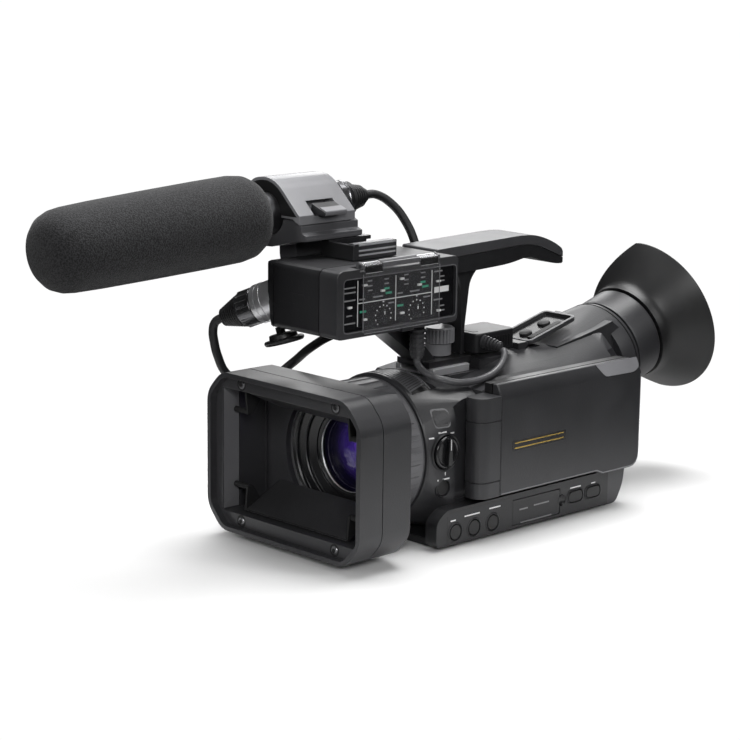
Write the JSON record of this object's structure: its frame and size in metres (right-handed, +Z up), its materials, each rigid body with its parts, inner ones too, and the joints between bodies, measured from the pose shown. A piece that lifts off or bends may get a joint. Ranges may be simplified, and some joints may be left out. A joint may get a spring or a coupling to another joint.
{
  "type": "camcorder",
  "caption": "Hand-held camcorder with a square lens hood, flip-out monitor, tilting viewfinder with a large eyecup, and a top handle with an audio module and a foam-covered microphone.",
  "frame": {"origin": "on the flat underside of the body, on its centre line, between the tripod thread and the locating hole", "axes": "+Z up, -Y forward along the lens axis, +X to the side that carries the monitor"},
  "size_m": [0.1205, 0.3869, 0.174],
  "materials": {
    "casing": "fine-grained charcoal plastic",
    "casing_dark": "dark grey moulded plastic",
    "black_plastic": "matt black plastic",
    "gloss_black": "polished black plastic",
    "control_print": "glossy black panel with plain scale marks",
    "rubber": "black rubber with a soft sheen",
    "foam": "open-cell foam",
    "strap": "woven and padded black webbing",
    "lens_glass": "coated lens glass",
    "screen": "dark display window",
    "clear_sheet": "clear sheet on a grey hinge barrel",
    "satin_metal": "satin metal",
    "dark_metal": "dark satin metal",
    "grille_metal": "pressed metal grille",
    "record_red": "red button",
    "cable_grey": "grey cable jacket"
  },
  "bodies": {
    "camera": {"hood_front_frame": "casing", "hood_rear_shell": "casing", "lens_barrel": "gloss_black", "front_lens": "lens_glass", "sensor_block": "dark_metal", "front_housing": "casing", "mic_grille": "grille_metal", "top_cover": "casing", "left_side_casing": "casing", "right_side_casing": "casing", "bottom_cover": "casing_dark", "battery": "casing_dark", "lower_control_panel": "casing_dark", "hand_strap": "strap", "handle_top": "casing", "handle_frame": "casing_dark", "camera_shoe": "satin_metal", "handle_foot": "dark_metal", "module_case": "casing_dark", "module_side_frame": "casing", "control_panel": "control_print", "accessory_shoe": "dark_metal", "module_cable_boot": "rubber", "microphone": "dark_metal", "windscreen": "foam", "mic_connector": "satin_metal", "mic_holder_base": "casing_dark", "xlr_plug": "satin_metal", "xlr_socket_cap": "rubber", "mic_cable": "rubber", "module_cable": "cable_grey", "module_cable_plug": "black_plastic"},
    "flap_upper": {"shutter_flap_upper": "black_plastic"},
    "flap_lower": {"shutter_flap_lower": "black_plastic"},
    "focus_ring": {"focus_ring": "rubber"},
    "dial": {"selector_dial": "black_plastic"},
    "push_focus": {"focus_push_button": "black_plastic"},
    "assign_1": {"assign_button_1": "black_plastic"},
    "assign_2": {"assign_button_2": "black_plastic"},
    "assign_3": {"assign_button_3": "black_plastic"},
    "display": {"display_button": "black_plastic"},
    "menu": {"menu_button": "black_plastic"},
    "port_cover": {"port_cover": "casing_dark"},
    "monitor": {"lcd_hinge_block": "casing", "lcd_back_shell": "casing", "lcd_bezel": "black_plastic", "lcd_screen": "screen"},
    "viewfinder": {"viewfinder_housing": "casing", "viewfinder_tube": "casing", "eyepiece_lens": "lens_glass", "eyecup": "rubber"},
    "rocker": {"zoom_rocker": "black_plastic"},
    "record": {"record_button": "record_red"},
    "jack_cover": {"jack_cover": "rubber"},
    "clamp_wheel": {"thumb_wheel": "black_plastic"},
    "panel_door": {"control_door": "clear_sheet"},
    "level_1": {"level_knob_1": "black_plastic"},
    "level_2": {"level_knob_2": "black_plastic"},
    "holder_lid": {"mic_holder_lid": "casing"},
    "battery_door": {"battery_door": "casing"}
  },
  "joints": [
    {"name": "upper_flap_hinge", "type": "hinge", "parent": "camera", "child": "flap_upper", "pos_m": [0, -0.1083, 0.0604], "axis": [-1, 0, 0], "range_deg": [0, 65]},
    {"name": "lower_flap_hinge", "type": "hinge", "parent": "camera", "child": "flap_lower", "pos_m": [0, -0.1083, 0.0236], "axis": [1, 0, 0], "range_deg": [0, 65]},
    {"name": "focus_turn", "type": "hinge", "parent": "camera", "child": "focus_ring", "pos_m": [0, -0.073, 0.042], "axis": [0, 1, 0], "continuous": true},
    {"name": "dial_turn", "type": "hinge", "parent": "camera", "child": "dial", "pos_m": [0.037, -0.0485, 0.0445], "axis": [1, 0, 0], "range_deg": [-45, 45]},
    {"name": "focus_push", "type": "slide", "parent": "camera", "child": "push_focus", "axis": [-1, 0, 0], "range_m": [0, 0.0006], "stiffness_N_per_m": 500},
    {"name": "assign_1_push", "type": "slide", "parent": "camera", "child": "assign_1", "axis": [-1, 0, 0], "range_m": [0, 0.0006], "stiffness_N_per_m": 500},
    {"name": "assign_2_push", "type": "slide", "parent": "camera", "child": "assign_2", "axis": [-1, 0, 0], "range_m": [0, 0.0006], "stiffness_N_per_m": 500},
    {"name": "assign_3_push", "type": "slide", "parent": "camera", "child": "assign_3", "axis": [-1, 0, 0], "range_m": [0, 0.0006], "stiffness_N_per_m": 500},
    {"name": "display_push", "type": "slide", "parent": "camera", "child": "display", "axis": [-1, 0, 0], "range_m": [0, 0.0006], "stiffness_N_per_m": 500},
    {"name": "menu_push", "type": "slide", "parent": "camera", "child": "menu", "axis": [-1, 0, 0], "range_m": [0, 0.0006], "stiffness_N_per_m": 500},
    {"name": "port_cover_hinge", "type": "hinge", "parent": "camera", "child": "port_cover", "pos_m": [0.0446, -0.0094, 0.0095], "axis": [0, 0, -1], "range_deg": [0, 100]},
    {"name": "monitor_open", "type": "hinge", "parent": "camera", "child": "monitor", "pos_m": [0.044, -0.0322, 0.046], "axis": [0, 0, -1], "range_deg": [0, 90]},
    {"name": "viewfinder_tilt", "type": "hinge", "parent": "camera", "child": "viewfinder", "pos_m": [0, 0.076, 0.078], "axis": [1, 0, 0], "range_deg": [0, 30]},
    {"name": "zoom_rock", "type": "hinge", "parent": "camera", "child": "rocker", "pos_m": [-0.0245, 0.0255, 0.077], "axis": [0.9211, 0, 0.3894], "range_deg": [-3, 3], "stiffness_Nm_per_rad": 0.05},
    {"name": "record_push", "type": "slide", "parent": "camera", "child": "record", "axis": [0, -1, 0], "range_m": [0, 0.0006], "stiffness_N_per_m": 500},
    {"name": "jack_cover_hinge", "type": "hinge", "parent": "camera", "child": "jack_cover", "pos_m": [0, 0.0362, 0.0801], "axis": [1, 0, 0], "range_deg": [0, 70]},
    {"name": "clamp_turn", "type": "hinge", "parent": "camera", "child": "clamp_wheel", "pos_m": [0, -0.0178, 0.09], "axis": [0, 0, 1], "continuous": true},
    {"name": "panel_door_hinge", "type": "hinge", "parent": "camera", "child": "panel_door", "pos_m": [0.0246, -0.0706, 0.1365], "axis": [0, -1, 0], "range_deg": [0, 110]},
    {"name": "level_1_turn", "type": "hinge", "parent": "camera", "child": "level_1", "pos_m": [0.025, -0.0797, 0.112], "axis": [1, 0, 0], "range_deg": [-150, 150]},
    {"name": "level_2_turn", "type": "hinge", "parent": "camera", "child": "level_2", "pos_m": [0.025, -0.0582, 0.112], "axis": [1, 0, 0], "range_deg": [-150, 150]},
    {"name": "holder_lid_hinge", "type": "hinge", "parent": "camera", "child": "holder_lid", "pos_m": [-0.052, -0.082, 0.1534], "axis": [0, -1, 0], "range_deg": [0, 100]},
    {"name": "battery_door_slide", "type": "slide", "parent": "camera", "child": "battery_door", "axis": [0, 1, 0], "range_m": [0, 0.02]}
  ],
  "couplings": [
    {"joint": "upper_flap_hinge", "follows": "lower_flap_hinge", "ratio": 1}
  ]
}
